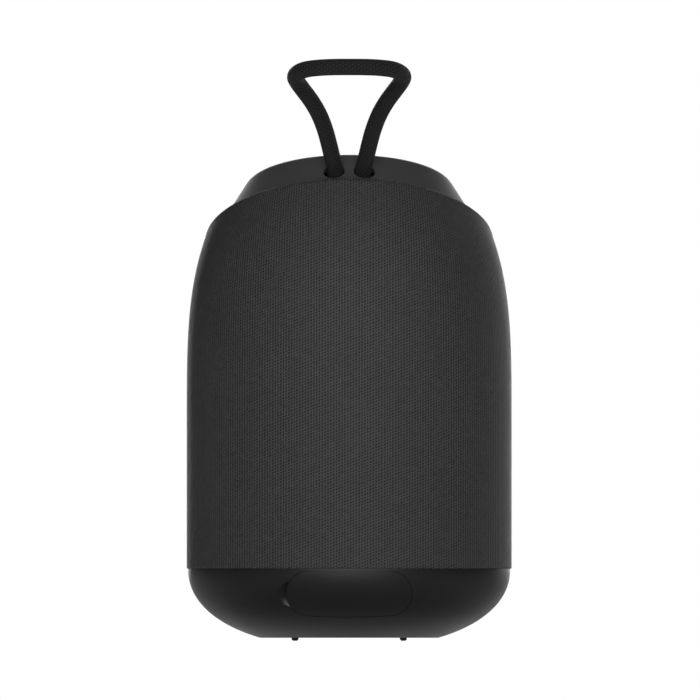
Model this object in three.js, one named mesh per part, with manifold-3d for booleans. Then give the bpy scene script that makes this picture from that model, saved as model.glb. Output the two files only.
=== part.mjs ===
// A shower speaker: an oval fabric-covered body with a slanted plastic cap, a dark
// moulded base with a hinged port cover, and a braided carrying loop at the rear.
// Millimetres, +Z up. The origin is under the middle of the body, on the plane of
// the feet. The front faces -Y and the rear, with the loop and the port, faces +Y.

import * as THREE from 'three';
import { mergeVertices } from 'three/addons/utils/BufferGeometryUtils.js';
import Module from 'manifold-3d';

const wasm = await Module();
wasm.setup();

// Driving dimensions

const gap = 0.3;
const degree = Math.PI / 180;

const halfWidth = 81;
const halfDepth = 59.5;
const ovalRatio = halfWidth / halfDepth;
const ovalSides = 44;
const seamZ = 36.4;
const domeStartZ = 110;
const domeHeight = 180;
const domePower = 3.5;
const domeEase = 1.25;
const bodyLevels = [domeStartZ, 140, 162, 180, 196, 212, 230];
const shellLevels = [domeStartZ, 155, 188, 216];

const fabricWall = 1.2;
const shellWall = 2.5;
const shellInset = fabricWall + gap;
const roomInset = shellInset + shellWall;

const rimTilt = 31 * degree;
const rimCentre = new THREE.Vector3(0, -7.95, 200.6);

const capFoot = { x: 66.5, v: 54.4, shift: 0 };
const capTop = { x: 50.6, v: 30.6, shift: 14.9 };
const capHeight = 22.1;
const capWall = 2.5;
const capShoulder = 2.2;
const capSeat = -3.2;
const capLevels = [0, 6, 12];
const ledgeTop = -0.6;
const rimRing = { outer: { x: 68.6, v: 55.8 }, inner: { x: 67, v: 54.8 } };
const capGasket = { outer: { x: 64.4, v: 51.4 }, inner: { x: 61.9, v: 49 } };

const baseHalfDepth = 59.05;
const baseCurveHeight = 40.3;
const baseCurvePower = 2.2;
const baseFloorZ = 1.5;
const baseWall = 3.2;
const baseLevels = [seamZ - gap, 29, 22, 15.5, 9.5, 4.8, baseFloorZ];

const portCentre = new THREE.Vector3(0, 56.05, 21.75);
const portLean = 24 * degree;
const portHalfLength = 31.2;
const portHalfHeight = 11.8;
const portDepth = 10.5;
const portSides = 6;
const portEnd = 10.4;
const portRoom = 0.35;
const portCollar = 2.2;
const scoop = { x: 28.8, z: 22.4, radius: 9, depth: 2.5 };

const strapRadius = 4.1;
const strapHoleRadius = 5.25;
const strapHole = new THREE.Vector3(7.6, 31, 234);
const strapX = 7.15; // the cord leans on the inner sides of its holes
const strapLean = 35 * degree;
const strapLift = 2.5;
const strapTail = 23;

const buttonTravel = 0.5;
const buttonSides = 16;
const buttonRadius = 6.3;
const buttonFlange = 7.6;
const buttonRoom = 0.35;
const buttonProud = 0.7;
const buttonRow = { v: 7, x: 25 };
const boostRow = 27;
const boostPill = { halfLength: 15, halfHeight: 5.5, flange: 1.3 };
const lightPlace = { x: 12.5, radius: 1 };
const boardMiddle = 15;
const boardTop = 12;
const boardThickness = 1.6;
const switchHeight = 2.7;

const volumeZ = 151;
const volumeX = 25;
const glyphSize = 28;
const glyphStroke = 7.5;
const glyphProud = 1.3;
const volumeTravel = 0.8;

const wooferZ = 96;
const wooferY = -30;
const wooferRadius = 55;
const wooferHole = 50;
const fullRangeZ = 150;
const fullRangeX = 62;
const fullRangeRadius = 21;

const cellRadius = 9.2;
const cellLength = 65;
const cellPitch = 19.6;
const batteryY = 34;
const batteryFloorZ = 47;

const chassisZ = 38;
const chassisThickness = 3;
const screwPlace = { x: 33, y: 6 };
const footPlace = { x: 27, y: 16 };
const footRoom = 0.35;

// Finishes

function finish(color, roughness, metalness = 0) {
  return () => new THREE.MeshStandardMaterial({ color, roughness, metalness });
}

const fabric = finish(0x303133, 0.95);
const cordWeave = finish(0x141415, 0.85);
const satinPlastic = finish(0x28292b, 0.5);
const basePlastic = finish(0x18191a, 0.35);
const innerPlastic = finish(0x1f1f20, 0.6);
const softRubber = finish(0x101011, 0.8);
const glyphRubber = finish(0x4a4b4d, 0.6);
const steel = finish(0xb4b6b9, 0.35, 1);
const magnetSteel = finish(0x54565a, 0.45, 1);
const coneFinish = finish(0x232425, 0.7);
const circuitBoard = finish(0x1d4a2c, 0.55);
const cellWrap = finish(0x2c5d8f, 0.4);
const leadFinish = finish(0x8c1f1f, 0.5);
const lens = finish(0xf2f2ee, 0.3);

// Solids

function closed(geometry) {
  const bare = geometry.clone();
  bare.deleteAttribute('normal');
  bare.deleteAttribute('uv');
  const merged = mergeVertices(bare);
  const at = merged.attributes.position;
  const corners = [];
  let volume = 0;
  const p = [new THREE.Vector3(), new THREE.Vector3(), new THREE.Vector3()];
  for (let i = 0; i < merged.index.count; i += 3) {
    const [a, b, c] = [0, 1, 2].map((k) => merged.index.getX(i + k));
    if (a === b || b === c || a === c) continue;
    [a, b, c].forEach((vertex, k) => p[k].fromBufferAttribute(at, vertex));
    volume += p[0].dot(p[1].clone().cross(p[2]));
    corners.push(a, b, c);
  }
  if (volume < 0) corners.reverse();
  merged.setIndex(corners);
  return merged;
}

function toSolid(geometry) {
  const mesh = closed(geometry);
  return new wasm.Manifold(new wasm.Mesh({
    numProp: 3,
    vertProperties: new Float32Array(mesh.attributes.position.array),
    triVerts: new Uint32Array(mesh.index.array),
  }));
}

function toGeometry(solid) {
  const mesh = solid.getMesh();
  const geometry = new THREE.BufferGeometry();
  geometry.setAttribute('position', new THREE.BufferAttribute(mesh.vertProperties, 3));
  geometry.setIndex(new THREE.BufferAttribute(mesh.triVerts, 1));
  return geometry;
}

function cut(geometry, ...tools) {
  return toGeometry(tools.reduce((solid, tool) => solid.subtract(toSolid(tool)), toSolid(geometry)));
}

function join(geometry, ...others) {
  return toGeometry(others.reduce((solid, other) => solid.add(toSolid(other)), toSolid(geometry)));
}

function common(geometry, ...others) {
  return toGeometry(others.reduce((solid, other) => solid.intersect(toSolid(other)), toSolid(geometry)));
}

// Basic shapes. A lathe profile is a list of [radius, height] points about +Z.

function lathe(points, sides = 24) {
  const onAxis = points[0][0] === 0 && points[points.length - 1][0] === 0;
  const loop = onAxis ? points : [...points, points[0]];
  const profile = loop.map(([radius, height]) => new THREE.Vector2(radius, height));
  return new THREE.LatheGeometry(profile, sides).rotateX(90 * degree);
}

function disc(radius, low, high, sides = 24) {
  return lathe([[0, low], [radius, low], [radius, high], [0, high]], sides);
}

function block(width, depth, height, x = 0, y = 0, z = 0) {
  return new THREE.BoxGeometry(width, depth, height).translate(x, y, z);
}

function raise(shape, low, high, curveSegments = 10) {
  const options = { depth: high - low, bevelEnabled: false, curveSegments };
  return new THREE.ExtrudeGeometry(shape, options).translate(0, 0, low);
}

function pill(halfLength, halfHeight, endRadius = halfHeight) {
  const shape = new THREE.Shape();
  const straight = halfLength - endRadius;
  shape.moveTo(-straight, -halfHeight);
  shape.lineTo(straight, -halfHeight);
  shape.absellipse(straight, 0, endRadius, halfHeight, -90 * degree, 90 * degree);
  shape.lineTo(-straight, halfHeight);
  shape.absellipse(-straight, 0, endRadius, halfHeight, 90 * degree, 270 * degree);
  return shape;
}

function oval(halfX, halfY) {
  const shape = new THREE.Shape();
  shape.absellipse(0, 0, halfX, halfY, 0, 360 * degree);
  return shape;
}

function ovalRing(outer, inner, low, high) {
  const shape = oval(outer.x, outer.v);
  shape.holes.push(oval(inner.x, inner.v));
  return raise(shape, low, high, ovalSides / 2);
}

// Turns a shape built about +Z so that its axis points along a direction.
function aim(geometry, direction, from) {
  const turn = new THREE.Quaternion().setFromUnitVectors(new THREE.Vector3(0, 0, 1), direction);
  return geometry.applyQuaternion(turn).translate(from.x, from.y, from.z);
}

// The assembly

const speaker = new THREE.Group();

function add(name, geometry, material, group = speaker) {
  const mesh = new THREE.Mesh(closed(geometry), material());
  mesh.name = name;
  group.add(mesh);
  return mesh;
}

const capGroup = new THREE.Group();
capGroup.rotation.x = rimTilt;
capGroup.position.copy(rimCentre);
capGroup.updateMatrix();
speaker.add(capGroup);
const toCap = capGroup.matrix.clone().invert();

const portGroup = new THREE.Group();
portGroup.rotation.x = 90 * degree - portLean;
portGroup.position.copy(portCentre);
portGroup.updateMatrix();
speaker.add(portGroup);
const toPort = portGroup.matrix.clone().invert();

// The body: an oval section that narrows above domeStartZ

function domeScale(z) {
  const climb = Math.max(0, (z - domeStartZ) / domeHeight);
  return (1 - climb ** domePower) ** domeEase;
}

function bodyVolume(inset, low, high = 246) {
  const through = inset > fabricWall ? shellLevels : bodyLevels;
  const levels = [low, ...through.filter((z) => z > low && z < high), high];
  const side = levels.map((z) => [halfDepth * domeScale(z) - inset, z]);
  return lathe([[0, low], ...side, [0, high]], ovalSides).scale(ovalRatio, 1, 1);
}

// Everything above a plane that lies at height w over the fabric's slanted rim
function aboveRim(w) {
  return block(260, 260, 150, 0, 0, w + 75).applyMatrix4(capGroup.matrix);
}

function glyph(plus, grow, fromY, toY) {
  const long = glyphSize + 2 * grow;
  const stroke = glyphStroke + 2 * grow;
  const depth = toY - fromY;
  const y = (fromY + toY) / 2;
  const x = plus ? -volumeX : volumeX;
  const bar = block(long, depth, stroke, x, y, volumeZ);
  return plus ? join(bar, block(stroke, depth, long, x, y, volumeZ)) : bar;
}

function makeFabricSleeve() {
  const sleeve = cut(
    bodyVolume(0, seamZ), bodyVolume(fabricWall, seamZ - 5, 250), aboveRim(0),
    glyph(true, gap, -70, -40), glyph(false, gap, -70, -40),
  );
  add('fabric_sleeve', sleeve, fabric);
}

function makeShells() {
  const outside = bodyVolume(shellInset, seamZ + gap);
  const shell = cut(outside, bodyVolume(roomInset, seamZ - 5, 250), aboveRim(capSeat - gap));
  const slots = [];
  for (const x of [-36, -24, -12, 0, 12, 24, 36]) {
    const tall = 2 * Math.sqrt(46 ** 2 - x ** 2);
    slots.push(block(7, 40, tall - 12, x, -60, wooferZ - 6));
  }
  const windows = [-1, 1].map((side) => block(33, 30, 31, side * volumeX, -60, volumeZ));
  const port = disc(17, -100, 100, 16).rotateY(90 * degree).translate(0, 0, fullRangeZ);
  const front = common(shell, block(200, 100, 300, 0, -50 - gap / 2, 120));
  const rear = common(shell, block(200, 100, 300, 0, 50 + gap / 2, 120));
  add('front_shell', cut(front, ...slots, ...windows, port), innerPlastic);
  add('rear_shell', cut(rear, port), innerPlastic);
}

// The cap: an oval foot just inside the fabric's rim, lofted to a smaller oval face

function capVolume(inset, low, high, shoulder) {
  const wall = [low, ...capLevels.filter((w) => w > low), high - shoulder];
  const side = wall.map((w) => [1, w]);
  const drawIn = shoulder / capTop.x;
  const turns = shoulder > 0 ? [30 * degree, 60 * degree, 90 * degree] : [];
  const corner = turns.map((angle) => [
    1 - drawIn * (1 - Math.cos(angle)), high - shoulder + shoulder * Math.sin(angle),
  ]);
  const geometry = lathe([[0, low], ...side, ...corner, [0, high]], ovalSides);
  const at = geometry.attributes.position;
  for (let i = 0; i < at.count; i += 1) {
    const t = Math.max(0, at.getZ(i) / capHeight);
    const x = THREE.MathUtils.lerp(capFoot.x, capTop.x, t) - inset;
    const v = THREE.MathUtils.lerp(capFoot.v, capTop.v, t) - inset;
    const shift = THREE.MathUtils.lerp(capFoot.shift, capTop.shift, t);
    at.setXY(i, at.getX(i) * x, at.getY(i) * v + shift);
  }
  return geometry;
}

const strapOut = new THREE.Vector3(0, Math.sin(strapLean), Math.cos(strapLean));

// A point on the line that the loop flexes about, just over the cap's two holes
function strapPivot(side, x = strapX) {
  const start = new THREE.Vector3(side * x, strapHole.y, strapHole.z);
  return start.addScaledVector(strapOut, strapLift);
}

const buttons = [
  { name: 'power', x: -buttonRow.x },
  { name: 'play', x: 0 },
  { name: 'pairing', x: buttonRow.x },
];

function makeCap() {
  const [low, high] = [boardTop, capHeight + 10];
  const holes = buttons.map(({ x }) =>
    disc(buttonRadius + buttonRoom, low, high, buttonSides).translate(x, buttonRow.v, 0));
  const slot = pill(boostPill.halfLength + buttonRoom, boostPill.halfHeight + buttonRoom);
  const boostHole = raise(slot, low, high, 6).translate(0, boostRow, 0);
  const lightHole = disc(lightPlace.radius + gap, low, high, 8).translate(lightPlace.x, buttonRow.v, 0);
  const strapHoles = [-1, 1].map((side) =>
    aim(disc(strapHoleRadius, -12, 8, 16), strapOut, strapPivot(side, strapHole.x)).applyMatrix4(toCap));
  const hollow = capVolume(capWall, capSeat - 6, capHeight - capWall, 0);
  const shell = cut(capVolume(0, capSeat, capHeight, capShoulder), hollow);
  const posts = [-1, 1].map((side) =>
    disc(2.4, boardTop + gap, capHeight - capWall + 0.5, 8).translate(side * 38, boardMiddle, 0));
  const cap = cut(join(shell, ...posts), ...holes, boostHole, lightHole, ...strapHoles);
  add('top_cap', cap, satinPlastic, capGroup);

  const ledge = ovalRing(rimRing.outer, rimRing.inner, capSeat, ledgeTop);
  add('rim_ring', ledge, satinPlastic, capGroup);
  const gasket = ovalRing(capGasket.outer, capGasket.inner, capSeat - 3.3, capSeat - gap);
  add('cap_gasket', gasket, softRubber, capGroup);
}

function makeButtons() {
  const foot = boardTop + gap + switchHeight + gap + buttonTravel + 0.1;
  const underside = capHeight - capWall - buttonTravel - 0.1;
  const flangeLow = underside - 1.8;
  const face = capHeight + buttonProud;
  for (const { name, x } of buttons) {
    const profile = [
      [0, foot], [2, foot], [2, flangeLow], [buttonFlange, flangeLow],
      [buttonFlange, underside], [buttonRadius, underside], [buttonRadius, face - 0.4],
      [buttonRadius - 0.4, face], [0, face],
    ];
    add(`${name}_button`, lathe(profile, buttonSides).translate(x, buttonRow.v, 0), softRubber, capGroup);
  }
  const { halfLength, halfHeight, flange } = boostPill;
  const boost = join(
    raise(pill(halfLength, halfHeight), underside - 1, face, 6),
    raise(pill(halfLength + flange, halfHeight + flange), flangeLow, underside, 6),
    disc(2, foot, underside - 1, 8),
  );
  add('boost_button', boost.translate(0, boostRow, 0), softRubber, capGroup);
  const light = disc(lightPlace.radius, boardTop + gap, capHeight + 0.05, 8);
  add('status_light', light.translate(lightPlace.x, buttonRow.v, 0), lens, capGroup);
}

function makeControlBoard() {
  const low = boardTop - boardThickness;
  const board = raise(oval(44, 21), low, boardTop, 20).translate(0, boardMiddle, 0);
  add('control_board', board, circuitBoard, capGroup);
  const places = [...buttons.map(({ name, x }) => [name, x, buttonRow.v]), ['boost', 0, boostRow]];
  for (const [name, x, v] of places) {
    const z = boardTop + gap + switchHeight / 2;
    add(`${name}_switch`, block(6, 6, switchHeight, x, v, z), steel, capGroup);
  }
}

// The carrying loop: a round braided cord whose two ends pass through the cap

const strapPoints = [
  [8.2, 35.6, 240], [10, 41.2, 247.4], [12.1, 46.8, 255], [15.1, 53, 262.6], [18.8, 59.2, 269],
  [23, 65.6, 274.7], [25.7, 71.8, 278.4], [26.9, 79, 281.2], [25.2, 86.3, 283.4], [21.5, 91.6, 284.9],
  [15.2, 95.7, 285.7], [7.8, 98.1, 286.05],
];
const strapCrown = new THREE.Vector3(0, 98.9, 286.1);

function strapRoute() {
  const right = [strapPivot(1), ...strapPoints.map(([x, y, z]) => new THREE.Vector3(x, y, z))];
  const left = right.map((point) => new THREE.Vector3(-point.x, point.y, point.z)).reverse();
  return new THREE.CatmullRomCurve3([...right, strapCrown, ...left]);
}

function makeStrap() {
  const section = new THREE.Shape();
  section.absellipse(0, 0, strapRadius, strapRadius, 0, 360 * degree);
  const cord = new THREE.ExtrudeGeometry(section, {
    steps: 38, extrudePath: strapRoute(), bevelEnabled: false, curveSegments: 5,
  });
  const ends = [-1, 1].map((side) => {
    const end = strapPivot(side).addScaledVector(strapOut, 0.4);
    return aim(new THREE.SphereGeometry(strapRadius - 0.3, 10, 6).rotateX(90 * degree), strapOut, end);
  });
  add('strap_loop', join(cord, ...ends), cordWeave);

  const clampTop = -16;
  const clampHoles = [-1, 1].map((side) =>
    aim(disc(strapRadius + gap, -30, 0, 10), strapOut, strapPivot(side)));
  const clamp = aim(raise(pill(19, 7.5), clampTop - 5, clampTop, 5), strapOut, strapPivot(1, 0));
  add('strap_clamp', cut(clamp, ...clampHoles), innerPlastic);
  for (const [side, name] of [[1, 'left'], [-1, 'right']]) {
    const tail = disc(strapRadius, -strapTail, -strapRadius - gap, 10);
    add(`strap_end_${name}`, aim(tail, strapOut, strapPivot(side)), cordWeave);
  }
}

// The base

function baseReach(z, halfSize, height) {
  const drop = (seamZ - z) / height;
  return halfSize * (1 - drop ** baseCurvePower) ** (1 / baseCurvePower);
}

function baseVolume(inset) {
  const side = baseLevels.map((z) => [baseReach(z, baseHalfDepth, baseCurveHeight) - inset, z]);
  const low = baseLevels[baseLevels.length - 1];
  return lathe([[0, seamZ - gap], ...side, [0, low]], ovalSides).scale(ovalRatio, 1, 1);
}

function portPill(grow) {
  return pill(portHalfLength + grow, portHalfHeight + grow, portEnd + grow);
}

function portPrism(grow, low, high) {
  const shape = portPill(grow);
  return raise(shape, low, high, portSides).applyMatrix4(portGroup.matrix);
}

function eachCorner(place, make) {
  for (const [sideX, nameX] of [[1, 'left'], [-1, 'right']]) {
    for (const [sideY, nameY] of [[-1, 'front'], [1, 'rear']]) {
      make(sideX * place.x, sideY * place.y, `${nameY}_${nameX}`);
    }
  }
}

function footPad(halfX, halfY, low, high) {
  return raise(pill(halfY, halfX), low, high, 3).rotateZ(90 * degree);
}

function makeBase() {
  const wallLevels = [seamZ + 1, 30, 23, 16, 10, baseFloorZ + baseWall];
  const inside = wallLevels.map((z) => [baseReach(Math.min(z, seamZ), baseHalfDepth - baseWall, 36), z]);
  const hollow = lathe([[0, seamZ + 1], ...inside, [0, baseFloorZ + baseWall]], ovalSides);
  const outer = baseVolume(0);
  const collar = common(outer, portPrism(portCollar, -20, portDepth));
  const bowl = join(cut(outer, hollow.scale(ovalRatio, 1, 1)), collar);
  const dishReach = baseReach(scoop.z, baseHalfDepth, baseCurveHeight);
  const dishY = Math.sqrt(dishReach ** 2 - (scoop.x / ovalRatio) ** 2);
  const outward = new THREE.Vector3(0.26, Math.cos(portLean), -Math.sin(portLean)).normalize();
  const dishFace = new THREE.Vector3(scoop.x, dishY, scoop.z);
  const dishAt = dishFace.addScaledVector(outward, scoop.radius - scoop.depth);
  const dish = new THREE.SphereGeometry(scoop.radius, 20, 12).translate(dishAt.x, dishAt.y, dishAt.z);
  const holes = [];
  eachCorner(screwPlace, (x, y) => {
    holes.push(disc(3.3, 0, baseFloorZ + 1.7, 10).translate(x, y, 0));
    holes.push(disc(1.8, 0, 10, 8).translate(x, y, 0));
  });
  eachCorner(footPlace, (x, y) => holes.push(footPad(2.1, 5.4, 0, baseFloorZ + 1).translate(x, y, 0)));
  add('base', cut(bowl, portPrism(portRoom, -20, portDepth + 5), dish, ...holes), basePlastic);
}

function makeFeetAndScrews() {
  eachCorner(footPlace, (x, y, name) => {
    const foot = footPad(2.1 - footRoom, 5.4 - footRoom, 0, baseFloorZ + 0.7);
    add(`foot_${name}`, foot.translate(x, y, 0), softRubber);
  });
  eachCorner(screwPlace, (x, y, name) => {
    const profile = [[0, 1.5], [2.9, 1.5], [2.9, 2.9], [1.5, 2.9], [1.5, 15], [0, 15]];
    add(`base_screw_${name}`, lathe(profile, 10).translate(x, y, 0), steel);
  });
}

function makeChassis() {
  const plate = common(
    bodyVolume(roomInset + gap, seamZ),
    block(200, 200, chassisThickness, 0, 0, chassisZ + chassisThickness / 2),
  );
  const posts = [];
  const pilots = [];
  const postFloor = baseFloorZ + baseWall + gap;
  eachCorner(screwPlace, (x, y) => {
    posts.push(disc(4, postFloor, chassisZ + 1, 10).translate(x, y, 0));
    pilots.push(disc(1.8, 0, 18, 8).translate(x, y, 0));
  });
  add('chassis_plate', cut(join(plate, ...posts), ...pilots), innerPlastic);
  const sealRing = cut(bodyVolume(roomInset + gap, seamZ), bodyVolume(roomInset + 3, 30));
  const sealSlab = block(200, 200, chassisZ - gap - seamZ, 0, 0, (chassisZ - gap + seamZ) / 2);
  add('base_gasket', common(sealRing, sealSlab), softRubber);
}

// The port: everything here is built about the middle of its cover, with +Z inwards

function makePort() {
  const inward = (geometry) => geometry.applyMatrix4(toPort);
  const flush = 0.2;
  const coverWall = 2;
  const skin = cut(baseVolume(flush), baseVolume(flush + coverWall));
  const face = common(inward(skin), raise(portPill(0), -12, portDepth, portSides));
  add('port_cover', face, basePlastic, portGroup);

  const lipOuter = raise(portPill(-0.9), -12, portDepth, portSides);
  const lipInner = raise(portPill(-2.9), -14, portDepth + 2, portSides);
  const lipFace = flush + coverWall + gap;
  const lipSkin = cut(baseVolume(lipFace), baseVolume(lipFace + 2));
  add('port_cover_seal', common(inward(lipSkin), cut(lipOuter, lipInner)), softRubber, portGroup);

  const plateFace = portDepth + gap;
  const socketHole = raise(pill(4.9, 2), plateFace - 5, plateFace + 10, 4);
  const plate = raise(portPill(2), plateFace, plateFace + 2, portSides);
  const overhead = inward(block(120, 120, 20, 0, 50, seamZ - gap + 10));
  add('port_plate', cut(plate, socketHole, overhead), innerPlastic, portGroup);
  const socket = raise(pill(4.6, 1.7), plateFace, plateFace + 7, 4);
  const mouth = raise(pill(4.2, 1.3), plateFace - 2, plateFace + 5.5, 4);
  const tongue = block(6, 0.7, 5.6, 0, 0, plateFace + 3.4);
  add('usb_socket', join(cut(socket, mouth), tongue), steel, portGroup);
  const board = block(30, 1.6, 18, 0, -1.7 - gap - 0.8, plateFace + 2 + gap + 9);
  add('charging_board', board, circuitBoard, portGroup);
}

// The volume buttons: raised symbols that follow the body and press in

function makeVolumeButtons() {
  const carrierY = -45.6;
  const carrierWall = 1.6;
  const switchFace = carrierY + carrierWall / 2 + volumeTravel + gap;
  for (const [plus, name] of [[true, 'volume_up'], [false, 'volume_down']]) {
    const x = plus ? -volumeX : volumeX;
    const raised = common(glyph(plus, 0, -70, carrierY), bodyVolume(-glyphProud, 120, 180));
    const carrier = block(glyphSize, carrierWall, glyphSize - 1, x, carrierY, volumeZ);
    add(`${name}_button`, join(raised, carrier), glyphRubber);
    add(`${name}_switch`, block(6, switchHeight, 6, x, switchFace + switchHeight / 2, volumeZ), steel);
  }
  const boardY = switchFace + switchHeight + gap + boardThickness / 2;
  add('volume_board', block(76, boardThickness, 20, 0, boardY, volumeZ), circuitBoard);
}

// The loudspeakers: shapes built about +Z with the listener at -Z

function wooferPart(geometry) {
  return geometry.rotateX(-90 * degree).translate(0, wooferY, wooferZ);
}

function makeWoofer() {
  const hole = wooferPart(disc(wooferHole, -20, 20));
  const room = bodyVolume(roomInset + gap, seamZ);
  const plate = block(200, 3, 118, 0, wooferY + 1.5, chassisZ + chassisThickness + gap + 59);
  add('woofer_baffle', cut(common(room, plate), hole), innerPlastic);

  const basket = [
    [wooferRadius, -4.3], [wooferRadius, -gap], [wooferHole - gap, -gap], [wooferHole - gap, 5],
    [30, 29], [12, 29], [12, 27], [28.5, 27], [48.6, 4.2], [48.6, -4.3],
  ];
  add('woofer_basket', wooferPart(lathe(basket)), magnetSteel);
  add('woofer_magnet', wooferPart(disc(28, 29 + gap, 50)), magnetSteel);
  const cone = [
    [0, 13.5], [8, 14.3], [15, 18], [44, -1.2], [46, -3], [48.2, -2],
    [48.2, -0.8], [46, -1.4], [44.5, 0.6], [15, 21], [0, 15],
  ];
  add('woofer_cone', wooferPart(lathe(cone)), coneFinish);
}

function makeFullRange(side, name) {
  const turned = (geometry) =>
    geometry.rotateY(-side * 90 * degree).translate(side * fullRangeX, 0, fullRangeZ);
  const room = bodyVolume(roomInset + gap, seamZ);
  const cupOuter = fullRangeRadius + 2;
  const cup = [[fullRangeRadius, -16], [cupOuter, -16], [cupOuter, 2], [fullRangeRadius, 2]];
  const frame = [
    [18, -1], [fullRangeRadius + 1, -1], [fullRangeRadius + 1, 1.5], [19, 1.5],
    [13, 11], [5, 11], [5, 9.6], [12, 9.6], [17.2, 1],
  ];
  const housing = join(turned(lathe(cup, 18)), turned(lathe(frame, 18)));
  add(`full_range_frame_${name}`, common(housing, room), innerPlastic);
  add(`full_range_magnet_${name}`, turned(disc(13.5, 11 + gap, 20, 16)), magnetSteel);
  const cone = [[0, 4], [5, 5.5], [15, 0.2], [16.2, -0.6], [16.2, 0.4], [15.2, 1.2], [5, 7], [0, 5.2]];
  add(`full_range_cone_${name}`, turned(lathe(cone, 16)), coneFinish);
}

// Battery, boards and leads

function makeBattery() {
  const cellX = [-1.5, -0.5, 0.5, 1.5].map((place) => place * cellPitch);
  const tray = block(84, 23, 15, 0, batteryY, batteryFloorZ - 2.8 + 7.5);
  const pockets = cellX.map((x) =>
    disc(cellRadius + gap, batteryFloorZ - gap, 90, 14).translate(x, batteryY, 0));
  add('battery_tray', cut(tray, ...pockets), innerPlastic);
  cellX.forEach((x, i) => {
    const profile = [
      [0, 0], [cellRadius, 0], [cellRadius, cellLength - 1.6], [4, cellLength - 1.6],
      [4, cellLength], [0, cellLength],
    ];
    add(`battery_cell_${i + 1}`, lathe(profile, 14).translate(x, batteryY, batteryFloorZ), cellWrap);
  });
}

function makeMainBoard() {
  const middleZ = 141;
  const finHeight = 26;
  const finPitch = 5.4;
  add('main_board', block(76, boardThickness, 46, 0, 40, middleZ), circuitBoard);
  const plate = block(30, 3, finHeight, 0, 37.4, middleZ);
  const fins = [-2.5, -1.5, -0.5, 0.5, 1.5, 2.5].map((place) =>
    block(2, 8, finHeight, place * finPitch, 32.5, middleZ));
  add('heat_sink', join(plate, ...fins), steel);
}

function makeLead(name, points) {
  const section = oval(1.3, 1.3);
  const route = new THREE.CatmullRomCurve3(points.map((point) => new THREE.Vector3(...point)));
  const options = { steps: 8, extrudePath: route, bevelEnabled: false, curveSegments: 3 };
  add(name, new THREE.ExtrudeGeometry(section, options), leadFinish);
}

makeFabricSleeve();
makeShells();
makeCap();
makeButtons();
makeControlBoard();
makeStrap();
makeBase();
makeFeetAndScrews();
makeChassis();
makePort();
makeVolumeButtons();
makeWoofer();
makeFullRange(1, 'left');
makeFullRange(-1, 'right');
makeBattery();
makeMainBoard();
makeLead('woofer_lead', [[-40, -14, 122], [-44, 4, 132], [-44, 24, 140], [-40, 33, 150]]);
makeLead('battery_lead', [[20, 30, 114], [22, 30, 119], [28, 33, 128], [34, 36, 134]]);

export default speaker;
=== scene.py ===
from math import cos, pi, radians, sin, tan

import bpy
import numpy as np
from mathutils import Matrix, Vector


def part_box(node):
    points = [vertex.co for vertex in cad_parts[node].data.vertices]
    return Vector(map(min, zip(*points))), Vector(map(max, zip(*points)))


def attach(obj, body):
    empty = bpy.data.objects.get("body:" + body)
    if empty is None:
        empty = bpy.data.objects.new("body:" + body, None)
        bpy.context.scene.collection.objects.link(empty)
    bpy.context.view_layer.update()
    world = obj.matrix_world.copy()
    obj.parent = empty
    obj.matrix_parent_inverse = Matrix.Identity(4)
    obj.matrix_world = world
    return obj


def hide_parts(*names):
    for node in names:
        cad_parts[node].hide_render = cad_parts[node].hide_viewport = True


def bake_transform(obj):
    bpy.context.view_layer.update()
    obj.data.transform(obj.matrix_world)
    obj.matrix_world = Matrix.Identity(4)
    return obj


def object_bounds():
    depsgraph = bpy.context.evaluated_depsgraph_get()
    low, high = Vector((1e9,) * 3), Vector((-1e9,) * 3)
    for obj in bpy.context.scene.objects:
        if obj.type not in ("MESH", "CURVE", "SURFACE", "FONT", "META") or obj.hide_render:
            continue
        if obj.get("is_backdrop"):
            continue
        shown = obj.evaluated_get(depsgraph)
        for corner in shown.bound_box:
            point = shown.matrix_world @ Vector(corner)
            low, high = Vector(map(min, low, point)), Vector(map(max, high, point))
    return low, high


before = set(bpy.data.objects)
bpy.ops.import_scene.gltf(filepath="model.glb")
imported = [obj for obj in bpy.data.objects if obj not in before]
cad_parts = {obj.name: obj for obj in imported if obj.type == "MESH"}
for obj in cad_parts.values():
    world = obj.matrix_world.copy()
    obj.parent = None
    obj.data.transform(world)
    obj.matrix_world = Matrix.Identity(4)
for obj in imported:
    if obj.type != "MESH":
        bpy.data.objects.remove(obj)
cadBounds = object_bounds()
print("frame loaded:", len(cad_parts), "nodes")

# Every length below is in millimetres. The front faces -Y and the rear faces +Y.
mm = 0.001


def boxOf(*nodes):  # lowest and highest corner of some CAD nodes, in millimetres
    corners = [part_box(node) for node in nodes]
    low = np.min([np.array(c[0]) for c in corners], axis=0) / mm
    high = np.max([np.array(c[1]) for c in corners], axis=0) / mm
    return low, high


def middleOf(node):
    low, high = boxOf(node)
    return (low + high) / 2


cameraSetup = dict(
    width=349.0,    # what the frame takes in, left to right
    height=145.0,   # of the middle of the frame over the floor
    aside=-0.4,     # of the middle of the frame from the middle of the body
    distance=900.0,
)


def makeCamera(setup):
    data = bpy.data.cameras.new("camera")
    data.type = "ORTHO"
    data.ortho_scale = setup["width"] * mm
    data.clip_end = 20
    camera = bpy.data.objects.new("camera", data)
    camera.location = (setup["aside"] * mm, setup["distance"] * mm, setup["height"] * mm)
    camera.rotation_euler = (pi / 2, 0, pi)  # level, looking at the rear
    bpy.context.scene.collection.objects.link(camera)
    bpy.context.scene.camera = camera


makeCamera(cameraSetup)


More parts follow.
